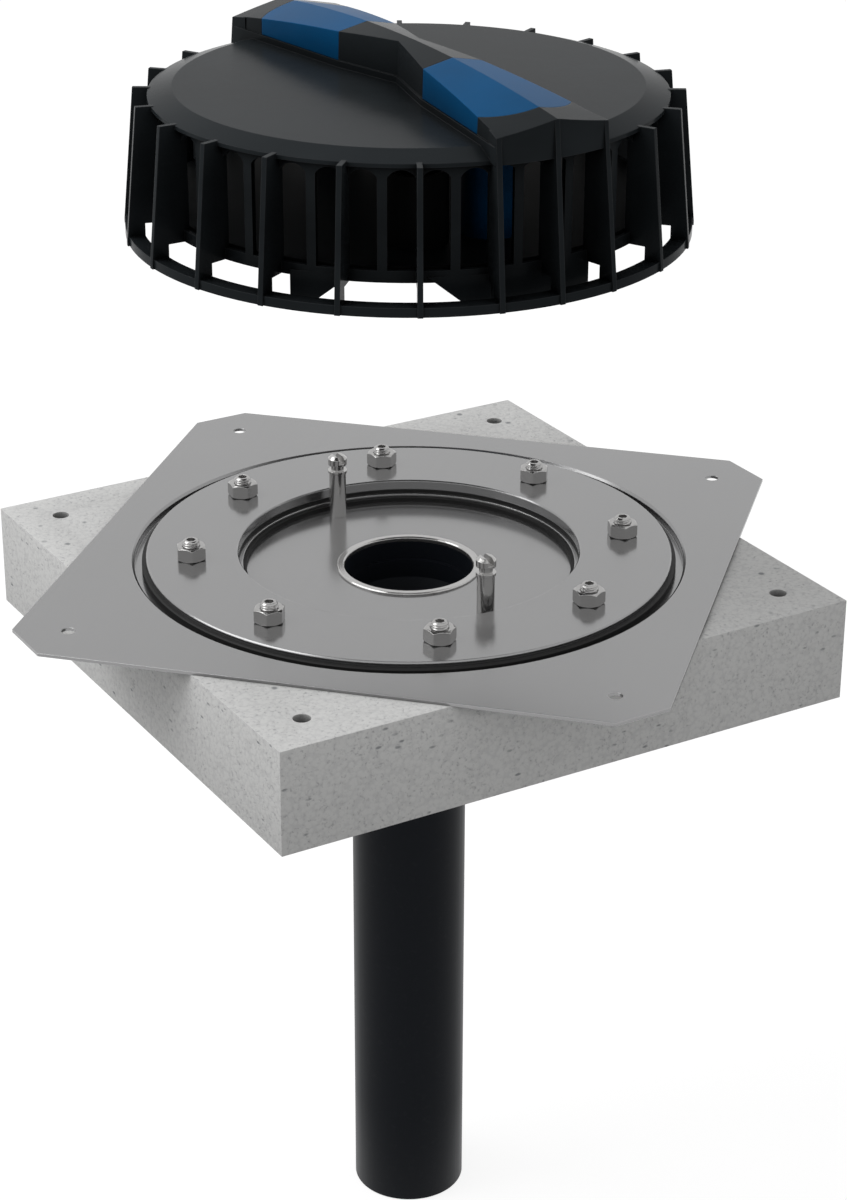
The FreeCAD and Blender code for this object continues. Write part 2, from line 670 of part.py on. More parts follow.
def outer_rib(top_level, top_radius):
    """One radial rib from the slotted wall outwards, from the base ring to its top."""
    inner = number("wall_radius") - number("wall_thickness") / 2
    foot = number("cage_foot_radius")
    half = number("rib_width") / 2
    toe = number("base_ring_height") / 2
    base = number("base_ring_inner")
    wall_foot = number("wall_foot")
    side = [
        Vector(base, -half, 0), Vector(foot, -half, 0), Vector(foot, -half, toe),
        Vector(top_radius, -half, top_level), Vector(inner, -half, top_level),
        Vector(inner, -half, wall_foot), Vector(base, -half, wall_foot),
    ]
    return prism(side, Vector(0, 2 * half, 0))


def slot_cutter(width):
    """One slot through the wall with a flat arch over it, pointing along the handle's line."""
    low = number("wall_foot") + number("wall_rim_height")
    radius = number("slot_arch_radius")
    centre = number("slot_crown") - radius
    inner = number("wall_radius") - number("wall_thickness") * 2
    depth = number("wall_thickness") * 2.6
    straight = Part.makeBox(depth, width, centre - low, Vector(inner, -width / 2, low))
    crown = Part.makeCylinder(radius, depth, Vector(inner, 0, centre), Vector(1, 0, 0))
    keep = Part.makeBox(depth, width, radius + 1, Vector(inner, -width / 2, centre))
    return straight.fuse(crown.common(keep))


def slot_cutters():
    """The arched slots, two in each bay between outer ribs."""
    angles = rib_angles() + [360.0]
    radius = number("wall_radius")
    cutters = []
    for first, second in zip(angles, angles[1:]):
        bay = math.radians(second - first) * radius
        width = (bay - number("rib_width") - number("inner_rib_width")) / 2
        offset = math.degrees((number("inner_rib_width") + width) / 2 / radius)
        middle = (first + second) / 2
        cutter = slot_cutter(width)
        cutters.append(spun(cutter, middle - offset))
        cutters.append(spun(cutter, middle + offset))
    return cutters


def wedge_feet():
    """Wedge feet under the slotted wall, in two opposite pairs, and the closed walls under the gables."""
    length = number("foot_length")
    top = number("wall_foot") + number("wall_rim_height") / 2
    low = number("wall_foot") - number("foot_depth")
    thickness = number("wall_thickness") * 0.9
    inner = number("wall_radius") - thickness
    slope_end = number("foot_slope") - length / 2
    reach = math.degrees(length / 2 / number("wall_radius"))
    gable = number("gable_angle")
    feet = []
    for angle, side in ((-gable - reach, 1), (-gable - 30 - reach, -1)):
        outline = [
            Vector(inner, -side * length / 2, top), Vector(inner, side * length / 2, top),
            Vector(inner, side * length / 2, low), Vector(inner, side * slope_end, low),
        ]
        foot = prism(outline, Vector(thickness, 0, 0))
        feet += [spun(foot, angle), spun(foot, angle + 180)]
    for side in (0, 180):
        outer_arc = Part.makeCylinder(number("wall_radius"), top - low, Vector(0, 0, low), UP, 2 * gable)
        wall = outer_arc.cut(cylinder(inner, low - 1, top + 1))
        feet.append(spun(wall, side - gable))
    return feet


def strainer_disc():
    """The domed disc, the slotted wall under it, the lip for the baffle and the base ring."""
    edge = number("cage_height")
    top = edge + number("disc_rise")
    under_edge = edge - number("disc_edge_height")
    outer = number("wall_radius")
    inner = outer - number("wall_thickness")
    flat = number("disc_flat_radius")
    thickness = number("disc_thickness")
    foot = number("wall_foot")
    lip = inner - number("baffle_lip")
    lip_top = number("baffle_level")
    lip_low = lip_top - number("baffle_lip_height")
    disc = turned([
        (0, top), (flat, top), (number("disc_edge_radius"), edge),
        (number("disc_edge_radius"), under_edge), (outer, under_edge), (outer, foot), (inner, foot),
        (inner, lip_low), (lip, lip_low), (lip, lip_top), (inner, lip_top), (inner, under_edge - thickness / 2),
        (flat, top - thickness), (0, top - thickness),
    ])
    ring_low = number("base_ring_inner")
    ring_high = number("base_ring_outer")
    height = number("base_ring_height")
    base = turned([(ring_low, 0), (ring_high, 0), (ring_high, height), (ring_low, height)])
    return disc, base


def post_places():
    """Centres of the two posts that carry the air baffle."""
    angle = number("sleeve_angle")
    return [polar(number("sleeve_circle"), angle), polar(number("sleeve_circle"), angle + 180)]


def strainer_cage():
    """The black moulding: disc, slotted wall, ribs, base ring, gables and the handle's body."""
    disc, base = strainer_disc()
    roof = roof_body()
    gable = number("gable_radius")
    wall = number("wall_radius")
    bar = handle_bar().common(cylinder(gable, 0, number("crest_height") + 2))
    foot = bow_loft(number("cage_height") - 1, number("ledge_height"), number("ledge_width"), gable)
    foot = foot.common(cylinder(gable, 0, number("crest_height")))
    ribs = []
    for angle in rib_angles():
        beside = min(angle % 180, 180 - angle % 180)
        if beside < number("gable_angle") + 1:
            across = gable * math.sin(math.radians(beside))
            along = gable * math.cos(math.radians(beside))
            top = crest_level(along) - across * math.tan(math.radians(number("roof_slope_angle")))
            blank = spun(outer_rib(top + 1, gable), angle)
            ribs.append(blank.common(roof))
        else:
            ribs.append(spun(outer_rib(number("cage_height") + 0.4, number("cage_top_radius")), angle))
    screw = number("screw_radius")
    post_low = number("baffle_level") + number("baffle_thickness")
    post_high = number("cage_height") + number("disc_rise") - number("disc_thickness") / 2
    posts = [cylinder(number("post_radius"), post_low, post_high, place) for place in post_places()]
    solid = disc.fuse([base, bar, foot] + ribs + wedge_feet() + posts)
    hollow = bow_loft(number("cage_height") - 6, number("ledge_height") - number("handle_wall") / 2,
                      number("ledge_width") - number("handle_wall"), gable)
    hollow = hollow.common(cylinder(wall - number("wall_thickness") - 2, 0, number("crest_height")))
    cutters = slot_cutters() + [hollow, grip_region(number("grip_gap"))]
    for side in (0, 180):
        cutters.append(cylinder(number("socket_radius") + number("grip_gap"), 0,
                                number("crest_height"), polar(number("pin_circle"), side)))
    for place in post_places():
        cutters.append(cylinder(screw, post_low - 1, post_low + number("screw_length"), place))
    return solid.cut(Part.makeCompound(cutters)).removeSplitter()


def grip(side):
    """One coloured grip: its share of the bar with the catch socket hanging under it."""
    bar = handle_bar().common(grip_region(0.0))
    reach = number("gable_radius")
    half = Part.makeBox(reach, 4 * reach, number("crest_height") + 2, Vector(0, -2 * reach, 0))
    cap = bar.common(half)
    centre = polar(number("pin_circle"), 0)
    bottom = number("socket_foot")
    socket = cylinder(number("socket_radius"), bottom, number("ledge_height") + 1, centre)
    bore = cylinder(number("socket_bore"), bottom - 1, bottom + number("socket_depth"), centre)
    groove = cylinder(number("spring_outer"), spring_level(),
                      spring_level() + number("spring_thickness") + number("grip_gap"), centre)
    return spun(cap.fuse(socket).cut(bore).cut(groove).removeSplitter(), side)


def spring_level():
    """Height of the catch spring's underside, level with the pin's neck when the strainer is on."""
    neck = dish_top.value + number("pin_rise") - number("pin_head_height") - number("pin_neck_height") / 2
    seated = ring_top.value + number("grip_gap") * 2
    return neck - seated - number("spring_thickness") / 2


def catch_spring(side):
    """An open spring ring in the groove of a catch socket."""
    centre = polar(number("pin_circle"), 0)
    low = spring_level()
    high = low + number("spring_thickness")
    outer = number("spring_outer") - number("grip_gap")
    ring_blank = tube(outer, number("spring_inner"), low, high, centre)
    half_mouth = math.radians(number("spring_mouth_angle") / 2)
    reach = 2 * outer
    mouth = prism([
        centre + Vector(0, 0, low - 1),
        centre + Vector(-reach * math.cos(half_mouth), reach * math.sin(half_mouth), low - 1),
        centre + Vector(-reach * math.cos(half_mouth), -reach * math.sin(half_mouth), low - 1),
    ], Vector(0, 0, number("spring_thickness") + 2))
    return spun(ring_blank.cut(mouth), side)


def air_baffle():
    """The disc that closes the strainer below, with vanes under it and two open sleeves on it."""
    low = number("baffle_level")
    high = low + number("baffle_thickness")
    radius = number("wall_radius") - number("wall_thickness") - number("baffle_gap")
    parts = [cylinder(radius, low, high)]
    half = number("vane_width") / 2
    for index in range(6):
        span = number("vane_outer") - number("vane_inner")
        vane = Part.makeBox(span, 2 * half, number("vane_depth") + 1,
                            Vector(number("vane_inner"), -half, low - number("vane_depth")))
        parts.append(spun(vane, 40 + 60 * index))
    for place in post_places():
        parts.append(tube(number("sleeve_radius"), number("sleeve_radius") - number("sleeve_wall"),
                          low, high + number("sleeve_height"), place))
    body = parts[0].fuse(parts[1:])
    cutters = [cylinder(number("screw_radius") + number("grip_gap"), low - 1, high + 1, place)
               for place in post_places()]
    for side in (0, 180):
        cutters.append(cylinder(number("baffle_hole"), 0, high + 1, polar(number("pin_circle"), side)))
    return body.cut(Part.makeCompound(cutters)).removeSplitter()


def baffle_screws():
    """The two screws that hold the air baffle to the posts."""
    seat = number("baffle_level")
    head_low = seat - number("screw_head_height")
    head = number("screw_head_radius")
    shank = number("screw_radius")
    tip = seat + number("baffle_thickness") + number("screw_length") - 1
    screw = turned([
        (0, head_low), (head - 1, head_low), (head, head_low + 1), (head, seat), (shank, seat),
        (shank, tip - 1), (shank / 2, tip), (0, tip),
    ])
    return Part.makeCompound([screw.translated(place) for place in post_places()])


in_base = Placement(Vector(0, 0, 0), handle_turn)
on_strainer = Placement(Vector(0, 0, cage_base.value), handle_turn)
add_shape("clamp_studs", clamp_studs())
add_shape("clamp_nuts", clamp_nuts())
add_shape("catch_pin_near", catch_pin().translated(polar(number("pin_circle"), 0)), in_base)
add_shape("catch_pin_far", catch_pin().translated(polar(number("pin_circle"), 180)), in_base)
add_shape("catch_pin_nuts", catch_pin_nuts(), in_base)
add_shape("strainer_cage", strainer_cage(), on_strainer)
add_shape("grip_near", grip(0), on_strainer)
add_shape("grip_far", grip(180), on_strainer)
add_shape("catch_spring_near", catch_spring(0), on_strainer)
add_shape("catch_spring_far", catch_spring(180), on_strainer)
add_shape("air_baffle", air_baffle(), on_strainer)
add_shape("baffle_screws", baffle_screws(), on_strainer)
doc.recompute()


def check_and_write():
    """Stop on a failed object or a bad shape, and otherwise write one file for each piece."""
    for item in doc.Objects:
        if "Invalid" in item.State or "Error" in item.State:
            raise RuntimeError(f"{item.Name} did not recompute: {item.State}")
    pieces = [item for item in doc.Objects if item.TypeId in ("PartDesign::Body", "Part::Feature")]
    for piece in pieces:
        if piece.Shape.isNull() or not piece.Shape.isValid():
            raise RuntimeError(f"{piece.Label} has no valid shape")
        if not piece.Shape.Solids:
            raise RuntimeError(f"{piece.Label} has no solid")
    os.makedirs("parts", exist_ok=True)
    for piece in pieces:
        piece.Shape.exportStep(f"parts/{piece.Label}.step")
        print(f"{piece.Label}: {len(piece.Shape.Solids)} solid(s), {piece.Shape.Volume / 1000:.1f} cm3")


check_and_write()
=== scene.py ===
"""Looks of the flat roof drain: its steel, moulded plastic, rubber and insulation finishes,
the threaded studs, hexagon nuts, outlet pipe and eased block, and the studio that shows them.
"""

from math import atan2, cos, pi, radians, sin, sqrt, tan

import bmesh
import bpy
from bpy.props import FloatProperty, FloatVectorProperty, IntProperty, PointerProperty
from mathutils import Matrix, Vector


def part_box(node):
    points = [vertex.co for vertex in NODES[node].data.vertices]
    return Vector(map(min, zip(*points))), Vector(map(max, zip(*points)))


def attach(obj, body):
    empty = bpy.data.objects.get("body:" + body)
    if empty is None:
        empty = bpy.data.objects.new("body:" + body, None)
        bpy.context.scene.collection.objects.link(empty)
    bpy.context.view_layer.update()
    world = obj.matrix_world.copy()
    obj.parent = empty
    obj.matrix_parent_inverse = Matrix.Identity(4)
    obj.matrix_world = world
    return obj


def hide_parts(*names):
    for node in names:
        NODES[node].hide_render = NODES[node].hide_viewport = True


bl_info = {
    "name": "Flat roof drain",
    "version": (1, 0, 0),
    "blender": (4, 5, 0),
    "location": "View3D > Sidebar > Roof drain",
    "description": "Finishes and studio for a flat roof drain with a lifted leaf strainer",
    "category": "Object",
}

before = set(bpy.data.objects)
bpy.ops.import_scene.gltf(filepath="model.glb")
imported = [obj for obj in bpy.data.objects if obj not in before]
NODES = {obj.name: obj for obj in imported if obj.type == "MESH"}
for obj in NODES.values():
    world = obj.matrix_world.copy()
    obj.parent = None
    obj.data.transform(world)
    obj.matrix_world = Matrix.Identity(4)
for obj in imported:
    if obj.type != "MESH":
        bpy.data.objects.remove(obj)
STUD_LOW, STUD_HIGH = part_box("clamp_studs")
NUT_LOW, NUT_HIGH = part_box("clamp_nuts")
PIPE_LOW, PIPE_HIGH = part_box("outlet_pipe")

WHITE = (1.0, 1.0, 1.0, 1.0)

# The colour sockets of a mix node
MIX_FIRST, MIX_SECOND, MIX_RESULT = 6, 7, 2

# What a surface group gives to a material
SURFACE_OUTPUTS = (
    ("Color", "NodeSocketColor"),
    ("Roughness", "NodeSocketFloat"),
    ("Height", "NodeSocketFloat"),
)


class DrainFinish(bpy.types.PropertyGroup):
    """Colours and surface qualities of the drain's finishes"""

    sheet_color: FloatVectorProperty(
        name="Sheet steel",
        description="Reflectance of the satin stainless sheets",
        subtype="COLOR",
        default=(0.29, 0.29, 0.292),
        min=0.0,
        max=1.0,
    )
    fixing_color: FloatVectorProperty(
        name="Fixing steel",
        description="Reflectance of the nuts, studs, pins and the outlet rim",
        subtype="COLOR",
        default=(0.46, 0.455, 0.45),
        min=0.0,
        max=1.0,
    )
    moulding_color: FloatVectorProperty(
        name="Black moulding",
        description="Colour of the strainer's black plastic",
        subtype="COLOR",
        default=(0.021, 0.0248, 0.0275),
        min=0.0,
        max=1.0,
    )
    grip_color: FloatVectorProperty(
        name="Blue grips",
        description="Colour of the two grips",
        subtype="COLOR",
        default=(0.0015, 0.08, 0.215),
        min=0.0,
        max=1.0,
    )
    foam_color: FloatVectorProperty(
        name="Insulation",
        description="Colour of the insulating block between its specks",
        subtype="COLOR",
        default=(0.83, 0.83, 0.82),
        min=0.0,
        max=1.0,
    )
    speck_color: FloatVectorProperty(
        name="Insulation specks",
        description="Colour of the specks and open cells of the block",
        subtype="COLOR",
        default=(0.5, 0.5, 0.51),
        min=0.0,
        max=1.0,
    )
    pipe_color: FloatVectorProperty(
        name="Pipe",
        description="Colour of the extruded outlet pipe and of its fitting",
        subtype="COLOR",
        default=(0.0075, 0.0092, 0.0125),
        min=0.0,
        max=1.0,
    )
    rubber_color: FloatVectorProperty(
        name="Rubber",
        description="Colour of the seals and gaskets",
        subtype="COLOR",
        default=(0.012, 0.012, 0.012),
        min=0.0,
        max=1.0,
    )
    # edge_width also sets the width of the painted highlight line along hard edges
    edge_width: FloatProperty(
        name="Edge width",
        description="Width of the worn, lighter line along hard edges",
        subtype="DISTANCE",
        unit="LENGTH",
        default=0.0006,
        min=0.0001,
        max=0.003,
    )


class DrainFixings(bpy.types.PropertyGroup):
    """Sizes of the threaded studs, their nuts and the eased block"""

    stud_count: IntProperty(
        name="Studs",
        description="Number of clamping studs",
        default=8,
        min=2,
        max=24,
    )
    stud_circle: FloatProperty(
        name="Stud circle",
        description="Radius of the circle that the studs stand on",
        subtype="DISTANCE",
        unit="LENGTH",
        default=0.1035,
    )
    stud_start: FloatProperty(
        name="First stud",
        description="Angle of the first stud",
        subtype="ANGLE",
        unit="ROTATION",
        default=radians(22.5),
    )
    stud_radius: FloatProperty(
        name="Stud radius",
        description="Crest radius of the thread",
        subtype="DISTANCE",
        unit="LENGTH",
        default=0.004,
    )
    thread_pitch: FloatProperty(
        name="Thread pitch",
        description="Rise of the thread in one turn",
        subtype="DISTANCE",
        unit="LENGTH",
        default=0.00125,
    )
    thread_depth: FloatProperty(
        name="Thread depth",
        description="Depth of the thread's groove",
        subtype="DISTANCE",
        unit="LENGTH",
        default=0.00062,
    )
    socket_flats: FloatProperty(
        name="Key socket",
        description="Width across the flats of the key socket in a stud's end",
        subtype="DISTANCE",
        unit="LENGTH",
        default=0.004,
    )
    socket_depth: FloatProperty(
        name="Key socket depth",
        description="Depth of the key socket in a stud's end",
        subtype="DISTANCE",
        unit="LENGTH",
        default=0.0022,
    )
    nut_flats: FloatProperty(
        name="Nut width",
        description="Width across the flats of a nut",
        subtype="DISTANCE",
        unit="LENGTH",
        default=0.013,
    )
    block_ease: FloatProperty(
        name="Block edge",
        description="Rounding of the insulating block's edges",
        subtype="DISTANCE",
        unit="LENGTH",
        default=0.0011,
    )


class DrainStudio(bpy.types.PropertyGroup):
    """Camera and light of the studio"""

    camera_azimuth: FloatProperty(
        name="Camera azimuth",
        description="Turn of the camera from the front towards the right",
        subtype="ANGLE",
        unit="ROTATION",
        default=radians(14.859),
    )
    camera_elevation: FloatProperty(
        name="Camera elevation",
        description="Height of the camera over the level",
        subtype="ANGLE",
        unit="ROTATION",
        default=radians(25.129),
    )
    camera_distance: FloatProperty(
        name="Camera distance",
        description="Distance from the camera to the point that it looks at",
        subtype="DISTANCE",
        unit="LENGTH",
        default=1.3956,
    )
    target_height: FloatProperty(
        name="Target height",
        description="Height of the point that the camera looks at",
        subtype="DISTANCE",
        unit="LENGTH",
        default=0.33165,
    )
    lens: FloatProperty(
        name="Focal length",
        description="Focal length for a 36 mm high sensor",
        default=87.117,
        min=20.0,
        max=300.0,
    )
    key_power: FloatProperty(
        name="Key light",
        description="Power of the soft light on the left, in watts",
        subtype="POWER",
        unit="POWER",
        default=19.0,
        min=0.0,
    )
    ambient: FloatProperty(
        name="Ambient",
        description="Level of the even light from all round",
        default=0.48,
        min=0.0,
        max=1.0,
    )


def finish_of(context):
    """The colours and surface qualities set in the panel."""
    return context.scene.drain_finish


def polar(radius, angle, height=0.0):
    """A point given by its distance from the axis, its angle and its height."""
    return Vector((radius * cos(angle), radius * sin(angle), height))


# Shader groups


def shader_group(name, inputs, outputs):
    """Start a node group with named sockets, and return it with its two end nodes."""
    group = bpy.data.node_groups.new(name, "ShaderNodeTree")
    for label, kind, value in inputs:
        socket = group.interface.new_socket(name=label, in_out="INPUT", socket_type=kind)
        socket.default_value = value
    for label, kind in outputs:
        group.interface.new_socket(name=label, in_out="OUTPUT", socket_type=kind)
    entry = group.nodes.new("NodeGroupInput")
    result = group.nodes.new("NodeGroupOutput")
    return group, entry, result


def feed(tree, socket, value):
    """Join an output to a socket, or set the socket to a plain value."""
    if isinstance(value, bpy.types.NodeSocket):
        tree.links.new(value, socket)
    else:
        socket.default_value = value


def math_node(tree, operation, first, second, clamp=False):
    """Add a math step. Its inputs are sockets or numbers."""
    node = tree.nodes.new("ShaderNodeMath")
    node.operation = operation
    node.use_clamp = clamp
    feed(tree, node.inputs[0], first)
    feed(tree, node.inputs[1], second)
    return node.outputs[0]


def add_share(tree, base, value, share, clamp=False):
    """Add a share of one value to another."""
    part = math_node(tree, "MULTIPLY", value, share)
    return math_node(tree, "ADD", base, part, clamp=clamp)


def spread(tree, value, low, high, to_low=0.0, to_high=1.0):
    """Stretch a value from one range to another, and clamp it there."""
    node = tree.nodes.new("ShaderNodeMapRange")
    node.clamp = True
    tree.links.new(value, node.inputs["Value"])
    node.inputs["From Min"].default_value = low
    node.inputs["From Max"].default_value = high
    node.inputs["To Min"].default_value = to_low
    node.inputs["To Max"].default_value = to_high
    return node.outputs["Result"]


def tint(tree, factor, first, second):
    """Mix two colours."""
    node = tree.nodes.new("ShaderNodeMix")
    node.data_type = "RGBA"
    tree.links.new(factor, node.inputs["Factor"])
    tree.links.new(first, node.inputs[MIX_FIRST])
    tree.links.new(second, node.inputs[MIX_SECOND])
    return node.outputs[MIX_RESULT]


def scale_color(tree, color, factor):
    """Multiply a colour by a value."""
    node = tree.nodes.new("ShaderNodeVectorMath")
    node.operation = "SCALE"
    tree.links.new(color, node.inputs[0])
    tree.links.new(factor, node.inputs["Scale"])
    return node.outputs["Vector"]


def place(tree, stretch=(1.0, 1.0, 1.0)):
    """Positions on the object, stretched along its axes."""
    where = tree.nodes.new("ShaderNodeTexCoord")
    mapping = tree.nodes.new("ShaderNodeMapping")
    mapping.inputs["Scale"].default_value = stretch
    tree.links.new(where.outputs["Object"], mapping.inputs["Vector"])
    return mapping.outputs["Vector"]


def noise(tree, vector, scale, detail=3.0, rough=0.55):
    """A noise value over the surface."""
    node = tree.nodes.new("ShaderNodeTexNoise")
    node.inputs["Detail"].default_value = detail
    node.inputs["Roughness"].default_value = rough
    feed(tree, node.inputs["Scale"], scale)
    tree.links.new(vector, node.inputs["Vector"])
    return node.outputs["Fac"]


def cell_distance(tree, vector, scale):
    """The distance to the middle of the nearest cell."""
    node = tree.nodes.new("ShaderNodeTexVoronoi")
    node.feature = "F1"
    feed(tree, node.inputs["Scale"], scale)
    tree.links.new(vector, node.inputs["Vector"])
    return node.outputs["Distance"]


def paint_cavity_shade(tree, color, reach, least):
    """Paint shade into a colour in deep places, down to a least share of it."""
    cavity = tree.nodes.new("ShaderNodeAmbientOcclusion")
    cavity.samples = 6
    feed(tree, cavity.inputs["Distance"], reach)
    painted_shade = spread(tree, cavity.outputs["AO"], low=0.35, high=0.85, to_low=least, to_high=1.0)
    return scale_color(tree, color, painted_shade)


def build_edge_group():
    """Eased edges: a mask along hard edges for a painted highlight, and a normal that rounds them.
    """
    group, entry, result = shader_group(
        "eased_edges",
        [("Radius", "NodeSocketFloat", 0.0006)],
        [("Edge", "NodeSocketFloat"), ("Normal", "NodeSocketVector")],
    )
    bevel = group.nodes.new("ShaderNodeBevel")
    bevel.samples = 6
    group.links.new(entry.outputs["Radius"], bevel.inputs["Radius"])
    facing = group.nodes.new("ShaderNodeNewGeometry")
    agree = group.nodes.new("ShaderNodeVectorMath")
    agree.operation = "DOT_PRODUCT"
    group.links.new(bevel.outputs["Normal"], agree.inputs[0])
    group.links.new(facing.outputs["Normal"], agree.inputs[1])
    # painted highlight: this mask marks where edges get a lighter colour
    painted_highlight = math_node(group, "SUBTRACT", 1.0, agree.outputs["Value"], clamp=True)
    group.links.new(spread(group, painted_highlight, low=0.01, high=0.22), result.inputs["Edge"])
    group.links.new(bevel.outputs["Normal"], result.inputs["Normal"])
    return group


def build_rolled_group():
    """Rolled stainless: fine parallel rolling lines, cloudy polish, a few handling marks and a
    painted highlight along edges.
    """
    group, entry, result = shader_group(
        "rolled_steel",
        [
            ("Color", "NodeSocketColor", (0.33, 0.33, 0.33, 1.0)),
            ("Edge", "NodeSocketFloat", 0.0),
            ("Highlight Gain", "NodeSocketFloat", 0.35),
            ("Polish", "NodeSocketFloat", 0.1),
        ],
        SURFACE_OUTPUTS,
    )
    line_stretch = (900.0, 14.0, 900.0)
    mark_stretch = (60.0, 420.0, 60.0)
    plain_tone = 0.955
    cloud_dullness = 0.07
    lines = noise(group, place(group, line_stretch), scale=1.0, detail=2.0)
    clouds = noise(group, place(group), scale=22.0, detail=4.0)
    marks = noise(group, place(group, mark_stretch), scale=1.0, detail=5.0, rough=0.7)
    scratch = spread(group, marks, low=0.68, high=0.74)
    tone = add_share(group, plain_tone, lines, share=0.035)
    tone = add_share(group, tone, clouds, share=0.05)
    tone = add_share(group, tone, scratch, share=0.04)
    # painted highlight: a lighter line along hard edges raises the steel's tone
    tone = add_share(group, tone, entry.outputs["Edge"], share=entry.outputs["Highlight Gain"])
    color = scale_color(group, entry.outputs["Color"], tone)
    group.links.new(color, result.inputs["Color"])
    dull = math_node(group, "MULTIPLY", clouds, cloud_dullness)
    dull = add_share(group, dull, scratch, share=0.05)
    dull = math_node(group, "ADD", dull, entry.outputs["Polish"])
    group.links.new(dull, result.inputs["Roughness"])
    group.links.new(lines, result.inputs["Height"])
    return group


def build_moulded_group():
    """Moulded plastic: a spark-eroded grain, faint flow shading, a painted highlight along edges,
    painted shade in cavities.
    """
    group, entry, result = shader_group(
        "moulded_plastic",
        [
            ("Color", "NodeSocketColor", (0.013, 0.013, 0.015, 1.0)),
            ("Edge", "NodeSocketFloat", 0.0),
            ("Highlight Color", "NodeSocketColor", (0.035, 0.036, 0.038, 1.0)),
            ("Dullness", "NodeSocketFloat", 0.42),
            ("Grain Scale", "NodeSocketFloat", 1500.0),
            ("Shade Reach", "NodeSocketFloat", 0.04),
        ],
        SURFACE_OUTPUTS,
    )
    flow_stretch = (1.0, 1.0, 2.2)
    grain = noise(group, place(group), entry.outputs["Grain Scale"], detail=2.0)
    flow = noise(group, place(group, flow_stretch), scale=17.0, detail=3.0)
    flow_tone = spread(group, flow, low=0.3, high=0.7, to_low=0.86, to_high=1.16)
    shade = scale_color(group, entry.outputs["Color"], flow_tone)
    # painted highlight: a lighter colour along hard edges, broken up by the flow noise
    highlight_breakup = spread(group, flow, low=0.25, high=0.6, to_low=0.45, to_high=1.0)
    edge_highlight = math_node(group, "MULTIPLY", entry.outputs["Edge"], highlight_breakup)
    mixed = tint(group, edge_highlight, shade, entry.outputs["Highlight Color"])
    # painted shade: the colour darkens where ambient occlusion finds hollows, such as the cage's
    # inside and the grips' legs
    color = paint_cavity_shade(group, mixed, entry.outputs["Shade Reach"], least=0.03)
    group.links.new(color, result.inputs["Color"])
    dull = add_share(group, entry.outputs["Dullness"], flow, share=0.1)
    group.links.new(dull, result.inputs["Roughness"])
    group.links.new(grain, result.inputs["Height"])
    return group


def build_foam_group():
    """Rigid insulation: packed cells with darker specks, open pits and a pale skin between."""
    group, entry, result = shader_group(
        "rigid_insulation",
        [
            ("Color", "NodeSocketColor", (0.72, 0.72, 0.715, 1.0)),
            ("Speck Color", "NodeSocketColor", (0.36, 0.36, 0.37, 1.0)),
            ("Pit Color", "NodeSocketColor", (0.36, 0.37, 0.38, 1.0)),
            ("Cell Scale", "NodeSocketFloat", 420.0),
        ],
        [("Color", "NodeSocketColor"), ("Height", "NodeSocketFloat")],
    )
    where = place(group)
    cells = cell_distance(group, where, entry.outputs["Cell Scale"])
    fine = noise(group, where, scale=640.0, detail=3.0, rough=0.6)
    broad = noise(group, where, scale=70.0, detail=4.0, rough=0.6)
    patch = noise(group, where, scale=9.0, detail=2.0)
    specks = spread(group, fine, low=0.56, high=0.74)
    gaps = spread(group, cells, low=0.42, high=0.78)
    density = spread(group, broad, low=0.3, high=0.68, to_low=0.25, to_high=1.0)
    amount = math_node(group, "MULTIPLY", specks, density)
    amount = add_share(group, amount, gaps, share=0.22, clamp=True)
    mottled = tint(group, amount, entry.outputs["Color"], entry.outputs["Speck Color"])
    pit_stretch = (0.6, 0.6, 1.5)
    pits = cell_distance(group, place(group, pit_stretch), scale=170.0)
    few = spread(group, noise(group, where, scale=75.0, detail=2.0), low=0.52, high=0.62)
    open_pits = math_node(group, "MULTIPLY", spread(group, pits, low=0.19, high=0.1), few)
    pitted = tint(group, open_pits, mottled, entry.outputs["Pit Color"])
    patch_tone = spread(group, patch, low=0.3, high=0.7, to_low=0.975, to_high=1.025)
    shade = scale_color(group, pitted, patch_tone)
    # painted shade: the block darkens in its bore and next to the parts on it
    color = paint_cavity_shade(group, shade, reach=0.012, least=0.3)
    group.links.new(color, result.inputs["Color"])
    sunk = math_node(group, "ADD", amount, open_pits, clamp=True)
    group.links.new(math_node(group, "SUBTRACT", 1.0, sunk), result.inputs["Height"])
    return group


def build_drawn_group():
    """Extruded pipe and turned rubber: long drawn lines along one direction and faint dust."""
    group, entry, result = shader_group(
        "drawn_surface",
        [
            ("Color", "NodeSocketColor", (0.012, 0.012, 0.016, 1.0)),
            ("Dust Color", "NodeSocketColor", (0.05, 0.05, 0.055, 1.0)),
            ("Dullness", "NodeSocketFloat", 0.34),
        ],
        SURFACE_OUTPUTS,
    )
    line_stretch = (700.0, 700.0, 5.0)
    dust_share = 0.35
    lines = noise(group, place(group, line_stretch), scale=1.0, detail=3.0)
    dust = noise(group, place(group), scale=240.0, detail=5.0, rough=0.65)
    motes = math_node(group, "MULTIPLY", spread(group, dust, low=0.56, high=0.78), dust_share)
    color = tint(group, motes, entry.outputs["Color"], entry.outputs["Dust Color"])
    group.links.new(color, result.inputs["Color"])
    dull = add_share(group, entry.outputs["Dullness"], lines, share=0.14)
    group.links.new(dull, result.inputs["Roughness"])
    group.links.new(lines, result.inputs["Height"])
    return group


GROUP_MAKERS = {
    "eased_edges": build_edge_group,
    "rolled_steel": build_rolled_group,
    "moulded_plastic": build_moulded_group,
    "rigid_insulation": build_foam_group,
    "drawn_surface": build_drawn_group,
}


def effect(tree, name):
    """Place one of the shared shader groups in a material, and build it on first use."""
    group = bpy.data.node_groups.get(name) or GROUP_MAKERS[name]()
    node = tree.nodes.new("ShaderNodeGroup")
    node.node_tree = group
    return node


# Materials


